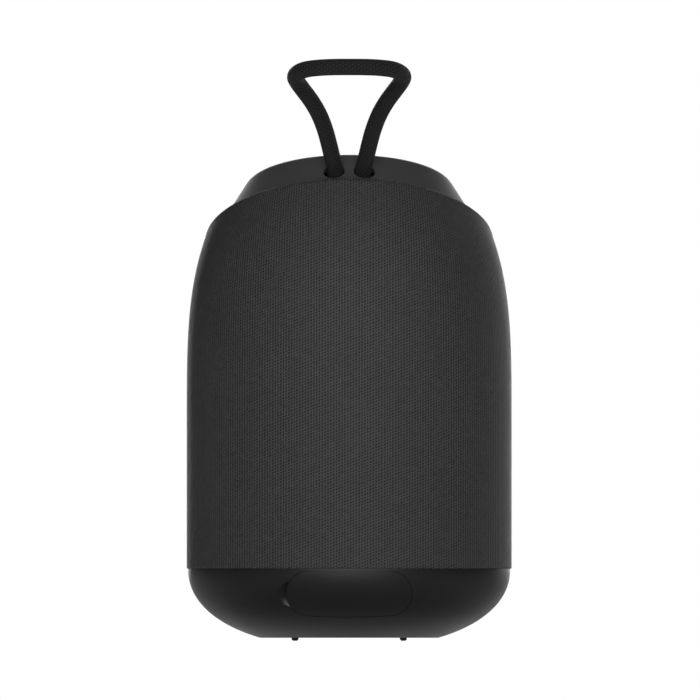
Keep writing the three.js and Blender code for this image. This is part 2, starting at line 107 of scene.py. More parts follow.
def buildMesh(name, points, quads, triangles, cornerUv=None):
    # Puts whole arrays of points, four-sided and three-sided faces into a mesh, turned to face outwards.
    # The sign of the volume, which is the sum over the faces of the triple product of three
    # corners, says whether the order of the corners has to be reversed.
    fan = np.concatenate([quads[:, [0, 1, 2]], quads[:, [0, 2, 3]], triangles])
    a, b, c = points[fan[:, 0]], points[fan[:, 1]], points[fan[:, 2]]
    inward = np.einsum("ij,ij->i", a, np.cross(b, c)).sum() < 0
    if inward:
        quads, triangles = quads[:, ::-1], triangles[:, ::-1]
    loops = np.concatenate([quads.ravel(), triangles.ravel()])
    totals = np.concatenate([np.full(len(quads), 4), np.full(len(triangles), 3)])
    starts = np.concatenate([[0], np.cumsum(totals)[:-1]])
    mesh = bpy.data.meshes.new(name)
    mesh.vertices.add(len(points))
    mesh.vertices.foreach_set("co", (points * mm).astype(np.float32).ravel())
    mesh.loops.add(len(loops))
    mesh.loops.foreach_set("vertex_index", loops.astype(np.int32))
    mesh.polygons.add(len(totals))
    mesh.polygons.foreach_set("loop_start", starts.astype(np.int32))
    mesh.polygons.foreach_set("loop_total", totals.astype(np.int32))
    if cornerUv is not None:
        quadUv, triangleUv = cornerUv
        if inward:
            quadUv, triangleUv = quadUv[:, ::-1], triangleUv[:, ::-1]
        layer = mesh.uv_layers.new(name="lay")
        flat = np.concatenate([quadUv.reshape(-1, 2), triangleUv.reshape(-1, 2)])
        layer.data.foreach_set("uv", flat.astype(np.float32).ravel())
    mesh.update(calc_edges=True)
    mesh.validate()
    mesh.polygons.foreach_set("use_smooth", np.ones(len(mesh.polygons), bool))
    thing = bpy.data.objects.new(name, mesh)
    bpy.context.scene.collection.objects.link(thing)
    return thing


def closedSurface(name, rows, uv=None, ring=False):
    # A closed skin from a grid of points, rows by columns, whose columns wrap round.
    # With ring, the last row joins the first. Without it the first and the last row are each
    # drawn in to one point, the pole. uv has one column more than the grid.
    count, around = rows.shape[:2]
    here, there = np.arange(around), (np.arange(around) + 1) % around
    if ring:
        points = rows.reshape(-1, 3)
        first = np.arange(count) * around
        second = ((np.arange(count) + 1) % count) * around
        triangles = np.zeros((0, 3), int)
    else:
        points = np.concatenate([rows[:1, 0], rows[1:-1].reshape(-1, 3), rows[-1:, 0]])
        first = 1 + np.arange(count - 3) * around
        second = first + around
        base, last = 1 + (count - 3) * around, len(points) - 1
        zero = np.zeros(around, int)
        triangles = np.concatenate([
            np.stack([zero, 1 + there, 1 + here], 1),
            np.stack([zero + last, base + here, base + there], 1),
        ])
    quads = np.stack([
        first[:, None] + here, first[:, None] + there, second[:, None] + there, second[:, None] + here,
    ], 2).reshape(-1, 4)
    cornerUv = None
    if uv is not None:
        top, low = (uv, np.roll(uv, -1, 0)) if ring else (uv[1:-2], uv[2:-1])
        quadUv = np.stack([top[:, :-1], top[:, 1:], low[:, 1:], low[:, :-1]], 2).reshape(-1, 4, 2)
        triangleUv = np.zeros((len(triangles), 3, 2))
        if not ring:
            triangleUv[:around] = np.stack([uv[0, :-1], uv[1, 1:], uv[1, :-1]], 1)
            triangleUv[around:] = np.stack([uv[-1, :-1], uv[-2, :-1], uv[-2, 1:]], 1)
        cornerUv = quadUv, triangleUv
    return buildMesh(name, points, quads, triangles, cornerUv)


def finishModifiers(thing):  # turns what the modifiers make into the piece's own mesh
    bpy.context.view_layer.update()
    graph = bpy.context.evaluated_depsgraph_get()
    mesh = bpy.data.meshes.new_from_object(thing.evaluated_get(graph))
    thing.modifiers.clear()
    thing.data = mesh


def joinOrCut(thing, operation, *tools):  # adds or takes away closed pieces, which are then gone
    for tool in tools:
        modifier = thing.modifiers.new(operation.lower(), "BOOLEAN")
        modifier.operation = operation
        modifier.solver = "EXACT"
        modifier.object = tool
    finishModifiers(thing)
    for tool in tools:
        bpy.data.objects.remove(tool)


def sharpen(thing, degrees=35):  # smooth shading everywhere but over real corners
    thing.data.polygons.foreach_set("use_smooth", np.ones(len(thing.data.polygons), bool))
    thing.data.set_sharp_from_angle(angle=radians(degrees))


def roundOutline(radius, count=64):
    angle = np.linspace(0, 2 * pi, count, endpoint=False)
    out = np.stack([np.cos(angle), np.sin(angle)], 1)
    return radius * out, out


def pillOutline(halfLength, halfHeight, endLength=None, count=96):
    # Two half ovals of length endLength joined by straight sides.
    # The turn runs evenly over the ends, and each quarter of it is pushed out sideways by the
    # straight part's half length.
    endLength = halfHeight if endLength is None else endLength
    straight = halfLength - endLength
    side = np.linspace(-straight, straight, 9)[1:-1]
    turn = np.linspace(-pi / 2, pi / 2, count // 2)
    endX, endY = straight + endLength * np.cos(turn), halfHeight * np.sin(turn)
    outX, outY = np.cos(turn) / endLength, np.sin(turn) / halfHeight
    size = np.hypot(outX, outY)
    flat = np.zeros_like(side)
    x = np.concatenate([endX, -side, -endX, side])
    y = np.concatenate([endY, flat + halfHeight, -endY, flat - halfHeight])
    nx = np.concatenate([outX / size, flat, -outX / size, flat])
    ny = np.concatenate([outY / size, flat + 1, -outY / size, flat - 1])
    return np.stack([x, y], 1), np.stack([nx, ny], 1)


def chamferedOutline(corners, radii, steps=7):
    # A polygon whose corners are arcs. At each corner the arc's middle lies on the corner's
    # bisector, so it touches both sides, and it turns the way the corner turns.
    corners = np.array(corners, float)
    radii = np.broadcast_to(radii, len(corners))
    points, outs = [], []
    neighbours = np.roll(corners, 1, 0), np.roll(corners, -1, 0)
    for before, here, after, radius in zip(neighbours[0], corners, neighbours[1], radii):
        into = (here - before) / np.linalg.norm(here - before)
        away = (after - here) / np.linalg.norm(after - here)
        turn = np.arctan2(into[0] * away[1] - into[1] * away[0], into @ away)
        side = np.sign(turn)
        start = here - into * radius * tan(abs(turn) / 2)
        centre = start + side * radius * np.array([-into[1], into[0]])
        out = np.array([into[1], -into[0]])
        angle = np.linspace(0, turn, steps)
        swung = np.stack([
            out[0] * np.cos(angle) - out[1] * np.sin(angle), out[0] * np.sin(angle) + out[1] * np.cos(angle),
        ], 1)
        points.append(centre + side * radius * swung)
        outs.append(swung)
    return resample(np.concatenate(points), np.concatenate(outs))


def plusOutline(long, thin, corner, steps=7):  # two equal bars that cross, with round corners
    quarter = [(long, -thin), (long, thin), (thin, thin)]
    quarterTurns = ((1, 0), (0, 1), (-1, 0), (0, -1))
    turned = [(x * c - y * s, x * s + y * c) for c, s in quarterTurns for x, y in quarter]
    return chamferedOutline(turned, corner, steps)


def resample(points, outs, step=0.7):
    # More points on the long straight stretches: the outline is read off at even distances
    # along it, with the arcs' own points kept.
    gaps = np.linalg.norm(np.roll(points, -1, 0) - points, axis=1)
    travel = np.concatenate([[0], np.cumsum(gaps)])
    even = np.arange(0, travel[-1], step)
    stops = np.union1d(np.round(travel[:-1], 4), np.round(even, 4))
    loop, loopOuts = np.vstack([points, points[:1]]), np.vstack([outs, outs[:1]])
    read = lambda values: np.stack([np.interp(stops, travel, values[:, k]) for k in (0, 1)], 1)
    found, direction = read(loop), read(loopOuts)
    return found, direction / np.linalg.norm(direction, axis=1, keepdims=True)


def pad(name, outline, place, edge, depth, crown=0.0, faceRows=10, edgeRows=6):
    # A closed pad over an outline. The rows run out over the back, up the wall, round the
    # edge on a quarter circle of radius edge, and in over the face to its middle. place turns
    # the outline's two numbers and a height over the face into a point. crown is how far the
    # face's middle stands over its edge, falling off as the square of the way out.
    points, outs = outline
    turn = np.linspace(0, pi / 2, edgeRows)
    middle = points.mean(0)
    rows = []

    def row(inset, height, share=1.0):
        at = (points - inset * outs - middle) * share + middle
        rows.append(place(at[:, 0], at[:, 1], np.full(len(at), height)))

    for share in np.linspace(0, 1, faceRows):
        row(0, -depth, share)
    for height in np.linspace(-depth, -edge, 4)[1:-1]:
        row(0, height)
    for angle in turn:
        row(edge * (1 - cos(angle)), -edge + edge * sin(angle))
    for share in np.linspace(1, 0, faceRows + 1)[1:]:
        row(edge, crown * (1 - share ** 2), share)
    return closedSurface(name, np.array(rows))


def sweep(name, path, up, halfWidth, halfHeight, around=12):
    # An oval section carried along a path, with round ends. At each station the section
    # spans the side, which is square to the path and to up, and the direction square to both.
    path = np.asarray(path, float)
    tangent = np.gradient(path, axis=0)
    tangent /= np.linalg.norm(tangent, axis=1, keepdims=True)
    side = np.cross(tangent, up)
    side /= np.linalg.norm(side, axis=1, keepdims=True)
    over = np.cross(side, tangent)
    endRows, count = 5, len(path)
    turn = np.linspace(0, pi / 2, endRows + 1)
    share = np.concatenate([np.sin(turn[:-1]), np.ones(count), np.cos(turn[1:])])
    ahead = np.concatenate([-np.cos(turn[:-1]), np.zeros(count), np.sin(turn[1:])]) * halfWidth
    station = np.concatenate([np.zeros(endRows, int), np.arange(count), np.full(endRows, count - 1)])
    angle = np.linspace(0, 2 * pi, around, endpoint=False)
    middle = path[station] + tangent[station] * ahead[:, None]
    wide = halfWidth * np.outer(share, np.cos(angle))[:, :, None] * side[station][:, None]
    tall = halfHeight * np.outer(share, np.sin(angle))[:, :, None] * over[station][:, None]
    return closedSurface(name, middle[:, None] + wide + tall)


strap = dict(
    radius=4.1, lift=2.5, tail=23.0,
    aside=7.15,  # the cord leans on the inner sides of its holes
    route=[
        (8.2, 35.6, 240), (10, 41.2, 247.4), (12.1, 46.8, 255), (15.1, 53, 262.6), (18.8, 59.2, 269),
        (23, 65.6, 274.7), (25.7, 71.8, 278.4), (26.9, 79, 281.2), (25.2, 86.3, 283.4),
        (21.5, 91.6, 284.9), (15.2, 95.7, 285.7), (7.8, 98.1, 286.05),
    ],
    crown=(0, 98.9, 286.1), square=(0, -0.66, 0.75),  # square to the loop's mean plane
    strands=24, lead=34.0, relief=0.2, meanHeight=0.75, dive=0.35, around=120, along=760,
    bendBelow=7.0, bendAbove=11.0,  # lengths either side of its pivot where the real cord flexes
    length=0.258,
)
strapHole = dict(
    lean=35.0, centre=(7.6, 31.0, 234.0), radius=5.25, depth=12.0,
    flareDepth=3.4, flare=0.5, mouth=1.2, mouthHeight=8.0,
)
strapOut = np.array([0, sin(radians(strapHole["lean"])), cos(radians(strapHole["lean"]))])


def strapPivot(x):  # a point on the line that the loop flexes about, just over the cap's holes
    return np.array([x, *strapHole["centre"][1:]]) + strapOut * strap["lift"]


def smoothRoute(points, perSpan=40):
    # A curve through the points. Each span is a cubic whose end slopes come from its
    # neighbours, with the square root of the distances between points as its own time.
    p = np.vstack([2 * points[0] - points[1], points, 2 * points[-1] - points[-2]])
    time = np.sqrt(np.linalg.norm(np.diff(p, axis=0), axis=1))[:, None]
    before, during, after = time[:-2], time[1:-1], time[2:]
    a, b, c, d = p[:-3], p[1:-2], p[2:-1], p[3:]
    leave = ((b - a) / before - (c - a) / (before + during) + (c - b) / during) * during
    arrive = ((c - b) / during - (d - b) / (during + after) + (d - c) / after) * during
    t = np.linspace(0, 1, perSpan, endpoint=False)[:, None, None]
    spans = (
        (2 * t ** 3 - 3 * t ** 2 + 1) * b + (t ** 3 - 2 * t ** 2 + t) * leave
        + (3 * t ** 2 - 2 * t ** 3) * c + (t ** 3 - t ** 2) * arrive
    )
    return np.vstack([spans.transpose(1, 0, 2).reshape(-1, 3), points[-1:]])


def evenSteps(path, count):  # the same curve at even distances, and its length
    travel = np.concatenate([[0], np.cumsum(np.linalg.norm(np.diff(path, axis=0), axis=1))])
    stops = np.linspace(0, travel[-1], count)
    return np.stack([np.interp(stops, travel, path[:, k]) for k in range(3)], 1), travel[-1]


def braidHeight(turns, along, strands):
    # Two families of strands cross. p and q count the strands of each family. In each
    # diamond one family lies on top, in turns, and its height is a half circle across it that
    # dips where it dives under its neighbours.
    p, q = strands * turns + along, strands * turns - along
    onTop = (np.floor(p) + np.floor(q)) % 2 < 1
    across = np.where(onTop, p % 1, q % 1) * 2 - 1
    ahead = np.where(onTop, q % 1, p % 1) * 2 - 1
    return np.sqrt(np.clip(1 - across ** 2, 0, 1)) * (1 - strap["dive"] * ahead ** 4)


def makeStrap():
    near = strapPivot(strap["aside"])
    tail = strapOut * strap["tail"]
    right = np.array([near - tail, near - tail / 2, near, *strap["route"]])
    left = (right * [-1, 1, 1])[::-1]
    path, travel = evenSteps(smoothRoute(np.vstack([right, [strap["crown"]], left])), strap["along"])
    tangent = np.gradient(path, axis=0)
    tangent /= np.linalg.norm(tangent, axis=1, keepdims=True)
    square = np.array(strap["square"])
    over = square - (tangent @ square)[:, None] * tangent
    over /= np.linalg.norm(over, axis=1, keepdims=True)
    side = np.cross(tangent, over)
    turns = np.linspace(0, 1, strap["around"] + 1)
    run = np.linspace(0, travel, strap["along"])
    lay = np.round(travel / strap["lead"] * strap["strands"]) * run / travel
    height = braidHeight(turns[None, :-1], lay[:, None], strap["strands"])
    radius = (strap["radius"] + strap["relief"] * (height - strap["meanHeight"]))[:, :, None]
    angle = 2 * pi * turns[:-1]
    ring = np.cos(angle)[:, None] * side[:, None] + np.sin(angle)[:, None] * over[:, None]
    skin = path[:, None] + radius * ring
    poles = [np.broadcast_to(end, (1,) + skin.shape[1:]) for end in (path[0], path[-1])]
    rows = np.concatenate([poles[0], skin, poles[1]])
    layUp = np.concatenate([lay[:1], lay, lay[-1:]])
    uv = np.stack(np.broadcast_arrays(strap["strands"] * turns[None], layUp[:, None]), 2)
    cord = closedSurface("carrying_cord", rows, uv)
    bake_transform(cord)
    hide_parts("strap_loop", "strap_end_left", "strap_end_right")
    [tuple(p) for p in path[::8] * mm]
    print("carrying cord:", round(travel, 1), "mm")
    return cord


sleeveLow, sleeveHigh = boxOf("fabric_sleeve")
body = dict(
    halfDepth=sleeveHigh[1], ratio=sleeveHigh[0] / sleeveHigh[1], seam=sleeveLow[2],
    domeStart=110.0, domeHeight=180.0, domePower=3.5, domeEase=1.25, crown=250.0,
    rimTilt=31.0, rimCentre=(0, -7.95, 200.6),
)
rimUp = radians(body["rimTilt"])
capAxes = np.array([[1, 0, 0], [0, cos(rimUp), sin(rimUp)], [0, -sin(rimUp), cos(rimUp)]])


def domeScale(z):
    # One less a power of the way up the dome, eased by a second power.
    climb = np.clip((z - body["domeStart"]) / body["domeHeight"], 0, 1)
    return (1 - climb ** body["domePower"]) ** body["domeEase"]


def bodyPoint(angle, z, inset):
    # An oval section that narrows up the dome, drawn in by inset.
    half = body["halfDepth"] * domeScale(z) - inset
    x, y = half * body["ratio"] * np.cos(angle), half * np.sin(angle)
    return np.stack(np.broadcast_arrays(x, y, z), -1)


def onCap(x, v, w):
    # A point from its place on the slanted rim's plane: across, up the slope and over it.
    x, v, w = np.broadcast_arrays(x, v, w)
    return np.array(body["rimCentre"]) + np.stack([x, v, w], -1) @ capAxes


def capPlace(node):  # the middle of a node on the slanted plane
    return capAxes @ (middleOf(node) - body["rimCentre"])


def onFloor(a, b, height):
    return np.stack(np.broadcast_arrays(a, b, height), -1)


def lathe(name, profile, x=0.0, v=0.0, around=48, place=onCap, turned=0.0):
    # A profile of radius and height turned about an axis, which stands on the slanted plane
    # unless place puts it elsewhere.
    angle = np.linspace(0, 2 * pi, around, endpoint=False) + turned
    c, s = np.cos(angle), np.sin(angle)
    rows = [place(x + radius * c, v + radius * s, height) for radius, height in profile]
    return closedSurface(name, np.array(rows))


def rimHeight(angle):
    # Where the slanted plane cuts the body, found by halving the span of heights.
    low, high = np.full_like(angle, body["seam"]), np.full_like(angle, body["crown"])
    centreY, centreZ = body["rimCentre"][1:]
    for _ in range(50):
        z = (low + high) / 2
        above = z > centreZ + (bodyPoint(angle, z, 0)[:, 1] - centreY) * tan(rimUp)
        low, high = np.where(above, low, z), np.where(above, z, high)
    return low


sleeve = dict(
    wall=1.2, around=360, rows=150, insideRows=24, foldRows=7, foldBelow=0.18,
    pressed=0.08,  # how far the hem is pressed onto the base
    swell=0.22, swellHeight=1.5, swellStart=0.4,  # the sleeve stands out by this below its upper fold
    stitches=312, rowPitch=1.53, arcSteps=8001, windowReach=5.0,
    flat=(0.444, 0.205),  # what the knit is cut to, in metres, before its slanted edge is cut
)
volumeKeys = dict(size=28.0, stroke=7.5, proud=1.3, gap=0.3, corner=0.9, edge=0.9, depth=5.0)


def glyphOutline(plus, grow=0.0):
    # A plus of two equal bars, or one bar, with small round corners.
    long, thin = volumeKeys["size"] / 2 + grow, volumeKeys["stroke"] / 2 + grow
    if plus:
        return plusOutline(long, thin, volumeKeys["corner"])
    bar = [(-long, -thin), (long, -thin), (long, thin), (-long, thin)]
    return chamferedOutline(bar, volumeKeys["corner"])


def frontPlace(centre):
    # Carries a flat outline onto the front of the body: x and z stay, and y is where the
    # oval section has that x, moved out by the height.
    def place(a, b, height):
        x, z = centre[0] + a, centre[2] + b
        half = body["halfDepth"] * domeScale(z)
        y = -half * np.sqrt(1 - (x / (half * body["ratio"])) ** 2)
        return np.stack([x, y - height, z], -1)
    return place


def stitchColumns(angle, z):
    # The column of stitches at a place. Even steps of the arc from the middle of the rear or the
    # front, so a column is as wide there at every height. Up the dome the columns close up
    # towards the sides by a cube, so that each height has the same number of them.
    fine = np.linspace(-pi, 3 * pi, sleeve["arcSteps"])
    step = np.hypot(body["ratio"] * np.sin(fine), np.cos(fine))
    arcLength = np.concatenate([[0], np.cumsum((step[1:] + step[:-1]) / 2)])
    side, rear = np.interp([0, pi / 2], fine, arcLength)
    quarters = (np.interp(angle, fine, arcLength) - rear) / (rear - side)
    middle = 2 * np.round(quarters / 2)
    away = quarters - middle
    scale = domeScale(z)
    return (middle + scale * away + (1 - scale) * away ** 3) * sleeve["stitches"] / 4


def makeSleeve():
    # The rows go up the outside to the slanted rim, over a round lip and down the inside.
    angle = np.linspace(0, 2 * pi, sleeve["around"] + 1)
    top = rimHeight(angle)
    floor = boxOf("base")[1][2] - sleeve["pressed"]
    wall, fold = sleeve["wall"], sleeve["foldBelow"]
    lip = wall / 2  # the upper fold is half a circle
    climb = top - lip - floor - fold
    rows, lays = [], []

    def row(inset, z):
        rows.append(bodyPoint(angle, z, inset)[:-1])
        up = np.broadcast_to((z - floor) / sleeve["rowPitch"], angle.shape)
        lays.append(np.stack([stitchColumns(angle, z), up], 1))

    for share in np.linspace(0, 1, sleeve["rows"]):
        z = floor + fold + climb * share
        below = np.clip((top - lip - z) / sleeve["swellHeight"], 0, 1)
        row(-sleeve["swell"] * (1 - below ** 4) * np.sqrt(below + sleeve["swellStart"]), z)
    for turn in np.linspace(0, pi, sleeve["foldRows"] + 2)[1:-1]:
        row(lip * (1 - cos(turn)), top - lip + lip * sin(turn))
    for share in np.linspace(1, 0, sleeve["insideRows"]):
        row(wall, floor + fold + climb * share)
    for turn in np.linspace(pi, 0, sleeve["foldRows"] + 2)[1:-1]:
        row(lip * (1 - cos(turn)), floor + fold - fold * sin(turn))
    piece = closedSurface("knitted_sleeve", np.array(rows), np.array(lays), ring=True)
    cutters = []
    for node, plus in (("volume_up_button", True), ("volume_down_button", False)):
        outline = glyphOutline(plus, volumeKeys["gap"])
        centre = middleOf(node)
        over = lambda a, b, height, place=frontPlace(centre): place(a, b, height + sleeve["windowReach"])
        cutters.append(pad("window", outline, over, 0.1, 2 * sleeve["windowReach"]))
    joinOrCut(piece, "DIFFERENCE", *cutters)
    sharpen(piece, 50)
    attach(piece, "speaker_body")
    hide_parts("fabric_sleeve")
    print("sleeve:", len(piece.data.polygons), "faces")
    return piece


def makeVolumeKeys():
    made = []
    for node, plus, name in (
        ("volume_up_button", True, "plus_key"), ("volume_down_button", False, "minus_key"),
    ):
        place = frontPlace(middleOf(node))
        raised = lambda a, b, height: place(a, b, height + volumeKeys["proud"])
        key = pad(name, glyphOutline(plus), raised, volumeKeys["edge"], volumeKeys["depth"])
        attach(key, node.replace("_button", "_key"))
        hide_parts(node)
        made.append(key)
    print("volume keys made")
    return made


cap = dict(
    foot=(66.5, 54.4, 0.0), top=(50.6, 30.6, 14.9),  # half width, half length and shift
    height=22.1, wall=2.5, seat=-3.2, chamfer=0.4, shoulder=2.6, shoulderLean=0.6,
    around=256, wallRows=28, faceRows=26, shoulderRows=9, insideRows=12, insideFaceRows=10,
    holeFrom=14.0, holeTo=26.0, holeChamfer=0.5, holeMouth=0.95, holeTurn=0.03,
    lightHole=1.3,
    ringOuter=(68.6, 55.8), ringInner=(67.0, 54.8), ringTop=-0.6,
)


def capOval(w, inset):
    # Half width, half length and shift of the loft's oval at a height over the rim's plane.
    t = np.clip(w / cap["height"], 0, 1)
    x, v, shift = [low + (high - low) * t for low, high in zip(cap["foot"], cap["top"])]
    return x - inset, v - inset, shift


def keyHole(radius):  # the profile of a hole with a chamfer at the face
    face, low, over = cap["height"], cap["holeFrom"], cap["holeTo"]
    wide, mouth = radius + cap["holeChamfer"], radius + cap["holeMouth"]
    return [
        (0, low), (radius, low), (radius, face - cap["holeChamfer"]), (wide, face), (mouth, over), (0, over),
    ]


def makeCap():
    # The rows run from the middle of the face over the shoulder, down the wall, round the
    # foot, up the inside and in to the middle of the inner face. The shoulder is a quarter
    # circle whose height and inset follow its sine and cosine.
    angle = np.linspace(0, 2 * pi, cap["around"], endpoint=False)
    rows = []

    def row(w, inset, share=1.0):
        x, v, shift = capOval(w, inset)
        rows.append(onCap(share * x * np.cos(angle), share * v * np.sin(angle) + shift, w))

    high, seat, wall, chamfer = cap["height"], cap["seat"], cap["wall"], cap["chamfer"]
    down, inward = cap["shoulder"], cap["shoulder"] * cap["shoulderLean"]
    for share in np.linspace(0, 1, cap["faceRows"])[:-1]:
        row(high, inward, share)
    for turn in np.linspace(0, pi / 2, cap["shoulderRows"]):
        row(high - down * (1 - cos(turn)), inward * (1 - sin(turn)))
    for w in np.linspace(high - down, seat + chamfer, cap["wallRows"])[1:]:
        row(w, 0)
    row(seat, chamfer)
    row(seat, wall - chamfer)
    for w in np.linspace(seat + chamfer, high - wall, cap["insideRows"]):
        row(w, wall)
    for share in np.linspace(1, 0, cap["insideFaceRows"])[1:]:
        row(high - wall, wall, share)
    piece = closedSurface("smooth_cap", np.array(rows))
    cutters = []
    for node in ("power_button", "play_button", "pairing_button"):
        x, v = capPlace(node)[:2]
        # Turned a little, so that none of the hole's corners lies on the cap's middle line.
        cutters.append(lathe("hole", keyHole(keys["radius"] + keys["gap"]), x, v, turned=cap["holeTurn"]))
    x, v = capPlace("status_light")[:2]
    low, over, radius = cap["holeFrom"], cap["holeTo"], cap["lightHole"]
    cutters.append(lathe("hole", [(0, low), (radius, low), (radius, over), (0, over)], x, v))
    x, v = capPlace("boost_button")[:2]
    slot = lambda a, b, height: onCap(x + a, v + b, height + over)
    cutters.append(pad("hole", boostOutline(keys["gap"]), slot, cutEdge, over - low))
    for side in (-1, 1):
        cutters.append(strapHoleCutter(side))
    joinOrCut(piece, "DIFFERENCE", *cutters)
    sharpen(piece)
    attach(piece, "speaker_body")
    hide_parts("top_cap")

    outer, inner, low, high = cap["ringOuter"], cap["ringInner"], cap["seat"], cap["ringTop"]
    section = ((outer, low), (outer, high), (inner, high), (inner, low))
    ring = [onCap(x * np.cos(angle), v * np.sin(angle), w) for (x, v), w in section]
    ledge = closedSurface("rim_ledge", np.array(ring), ring=True)
    sharpen(ledge)
    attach(ledge, "speaker_body")
    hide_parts("rim_ring")
    print("cap:", len(piece.data.polygons), "faces")
    return piece, ledge


def strapHoleCutter(side):
    across = np.array([1.0, 0, 0])
    axes = np.array([across, np.cross(strapOut, across), strapOut])
    pivot = strapPivot(side * strapHole["centre"][0])
    place = lambda a, b, height: pivot + onFloor(a, b, height) @ axes
    radius, low, over = strapHole["radius"], -strapHole["depth"], strapHole["mouthHeight"]
    wide, mouth = radius + strapHole["flare"], radius + strapHole["mouth"]
    profile = [
        (0, low), (radius, low), (radius, -strapHole["flareDepth"]), (wide, 0), (mouth, over), (0, over),
    ]
    return lathe("hole", profile, place=place)


keys = dict(
    radius=6.3, depth=5.0, edge=0.55, proud=0.7, dish=0.25, gap=0.35, boostLength=15.0, boostHeight=5.5,
    strokeWidth=0.42, strokeHeight=0.16, markRise=0.03,
)
statusLight = dict(radius=1.0, proud=0.05, edge=0.2, depth=9.0, crown=0.1)


def boostOutline(grow=0.0):
    return pillOutline(keys["boostLength"] + grow, keys["boostHeight"] + grow)


def arc(radius, start, stop, x=0.0, y=0.0, count=24):
    angle = np.radians(np.linspace(start, stop, count))
    return np.stack([x + radius * np.cos(angle), y + radius * np.sin(angle)], 1)


def line(*corners, count=8):  # straight stretches between corners, with a few points on each
    spans = [np.linspace(a, b, count)[:-1] for a, b in zip(corners[:-1], corners[1:])]
    return np.vstack(spans + [np.array(corners[-1:])])


keySymbols = dict(
    power_button=[arc(2.3, 125, 415), line((0, 0.7), (0, 3.0))],
    play_button=[
        line((-2.6, -1.9), (-2.6, 1.9), (0.5, 0), (-2.6, -1.9)), line((1.7, -1.9), (1.7, 1.9)),
        line((3.1, -1.9), (3.1, 1.9)),
    ],
    pairing_button=[arc(0.35, 0, 360, -2.2)] + [arc(radius, -48, 48, -2.2) for radius in (2.0, 3.5, 5.0)],
    boost_button=[line((-2.4, -1.9), (0, 0.1), (2.4, -1.9)), line((-2.4, 0.3), (0, 2.3), (2.4, 0.3))],
)


def makeKeys():
    made = []
    face = cap["height"] + keys["proud"]
    for node, strokes in keySymbols.items():
        x, v = capPlace(node)[:2]
        place = lambda a, b, height: onCap(x + a, v + b, face + height)
        outline = boostOutline() if node == "boost_button" else roundOutline(keys["radius"])
        name = node.replace("_button", "_cap")
        key = pad(name, outline, place, keys["edge"], keys["depth"], crown=-keys["dish"])
        bodyName = node.replace("_button", "_key")
        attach(key, bodyName)
        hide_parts(node)
        made.append(key)
        for i, stroke in enumerate(strokes):
            lowered = keys["dish"] * (1 - (np.hypot(*stroke.T) / keys["radius"]) ** 2) - keys["markRise"]
            path = place(stroke[:, 0], stroke[:, 1], -lowered)
            markName = f"{name}_mark_{i + 1}"
            mark = sweep(markName, path, capAxes[2], keys["strokeWidth"] / 2, keys["strokeHeight"])
            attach(mark, bodyName)
            made.append(mark)
    x, v = capPlace("status_light")[:2]
    top = cap["height"] + statusLight["proud"]
    place = lambda a, b, height: onCap(x + a, v + b, top + height)
    light = pad(
        "light_pipe", roundOutline(statusLight["radius"], 24), place, statusLight["edge"],
        statusLight["depth"], crown=statusLight["crown"], faceRows=4, edgeRows=4,
    )
    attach(light, "speaker_body")
    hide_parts("status_light")
    print("cap keys made")
    return made, light


cornerNames = ("front_left", "front_right", "rear_left", "rear_right")
cutEdge = 0.05
base = dict(
    halfDepth=59.05, curveHeight=40.3, power=2.2, top=36.1, floor=1.5, wall=3.2, lip=0.15,
    around=320, floorRows=24, wallRows=70, lipRows=5, climb=1.35,  # rows lie closer near the floor
    insideRows=18, insideFloorRows=10, insideDrop=0.9, insidePower=2.6, insideShrink=0.995,
    screwHole=[(0, -1), (3.9, -1), (3.55, 1.5), (3.3, 1.8), (3.3, 3.2), (1.8, 3.2), (1.8, 10), (0, 10)],
    footSeat=(5.4, 2.1), footSeatTop=2.5, footSeatDepth=4.0,
)
port = dict(
    centre=(0, 56.05, 21.75), lean=24.0, halfLength=31.2, halfHeight=11.8, endLength=10.4,
    grow=0.35, outside=20.0, pocket=45.0,  # the pocket's cut starts outside and goes this deep
    collar=2.2, collarSunk=1.2, collarDepth=12.0,
    flush=0.08, coverWall=2.0, coverEdge=0.2, coverGrow=0.25,
)
scoop = dict(x=27.2, z=21.5, radius=11.5, depth=2.9, aside=0.42, lean=14.0)
portTilt = radians(port["lean"])
portUp = np.array([0, sin(portTilt), cos(portTilt)])
portOut = np.array([0, cos(portTilt), -sin(portTilt)])


def baseReach(z):
    # Half depth of the bowl at a height: a superellipse between its rim and a point below
    # the floor.
    drop = np.clip((body["seam"] - z) / base["curveHeight"], 0, 0.9999)
    return base["halfDepth"] * (1 - drop ** base["power"]) ** (1 / base["power"])


def portFlat(a, b, height):
    across = np.multiply.outer(a, [1.0, 0, 0]) + np.multiply.outer(b, portUp)
    return np.array(port["centre"]) + across + np.multiply.outer(height, portOut)


def portSurface(a, b):
    # How far out from the port's plane the bowl's skin lies, by halving the span.
    start = portFlat(a, b, 0)
    low, high = np.full_like(a, -20.0), np.full_like(a, 12.0)
    for _ in range(40):
        out = (low + high) / 2
        at = start + out[..., None] * portOut
        inside = np.hypot(at[..., 0] / body["ratio"], at[..., 1]) < baseReach(at[..., 2])
        low, high = np.where(inside, out, low), np.where(inside, high, out)
    return start, low


def portPlace(flush):
    def place(a, b, height):
        start, out = portSurface(a, b)
        return start + (out - flush + height)[:, None] * portOut
    return place


def portOutline(grow):
    return pillOutline(port["halfLength"] + grow, port["halfHeight"] + grow, port["endLength"] + grow)


